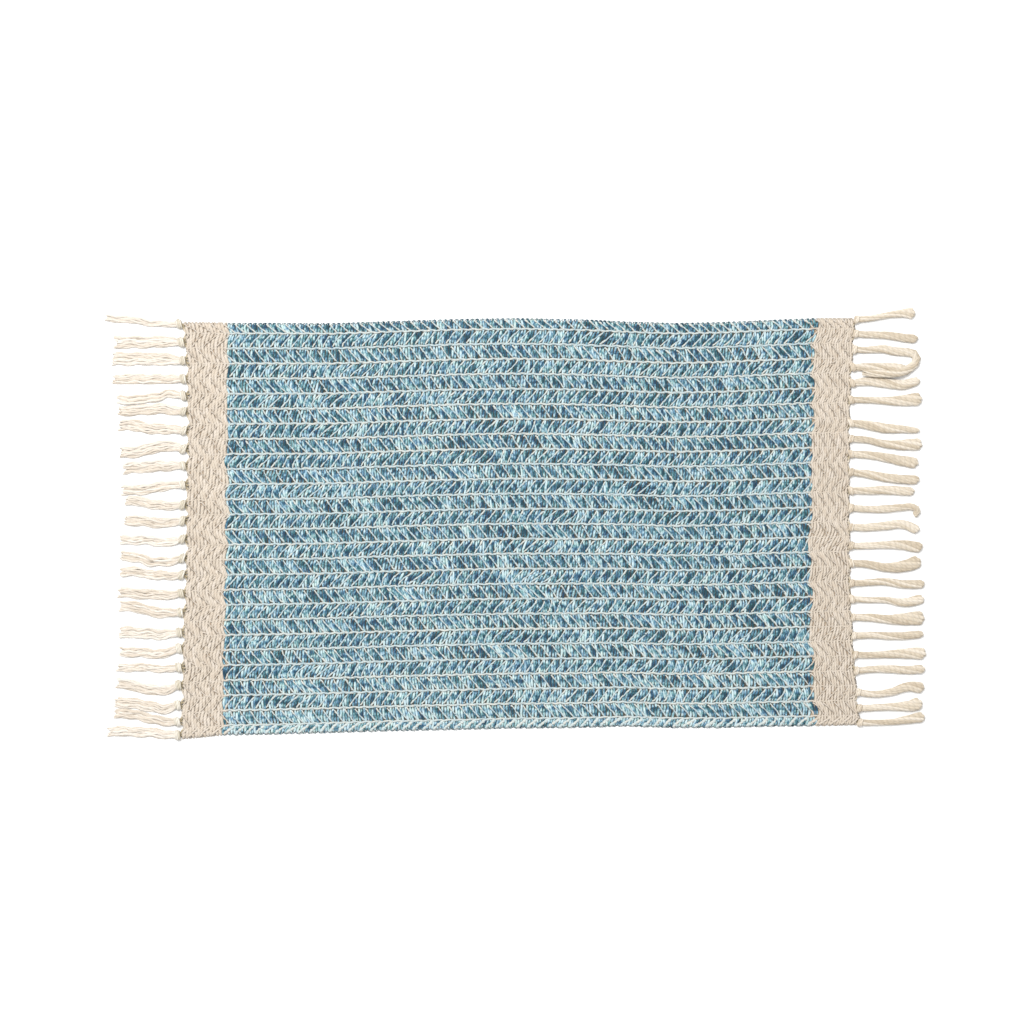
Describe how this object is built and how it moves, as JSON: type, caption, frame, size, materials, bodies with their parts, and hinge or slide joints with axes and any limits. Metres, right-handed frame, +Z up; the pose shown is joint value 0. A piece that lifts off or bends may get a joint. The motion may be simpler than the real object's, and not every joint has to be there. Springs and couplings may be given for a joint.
{
  "type": "fringed floor mat",
  "caption": "Flat-woven rectangular cotton floor mat with a herringbone-striped field, plain pale end bands and a knotted fringe at both ends, lying flat.",
  "frame": {"origin": "centre of the mat's footprint, fringe included, on the floor", "axes": "+X along the mat's length, +Y across it, +Z up from the floor"},
  "size_m": [0.9857, 0.5154, 0.0066],
  "materials": {
    "cloth": "matt flat-woven cotton, blue mix with cream lines and cream end bands",
    "fringe_yarn": "matt undyed cotton yarn"
  },
  "bodies": {
    "root": {"woven_mat": "cloth", "fringe_left": "fringe_yarn", "fringe_right": "fringe_yarn"}
  },
  "joints": []
}
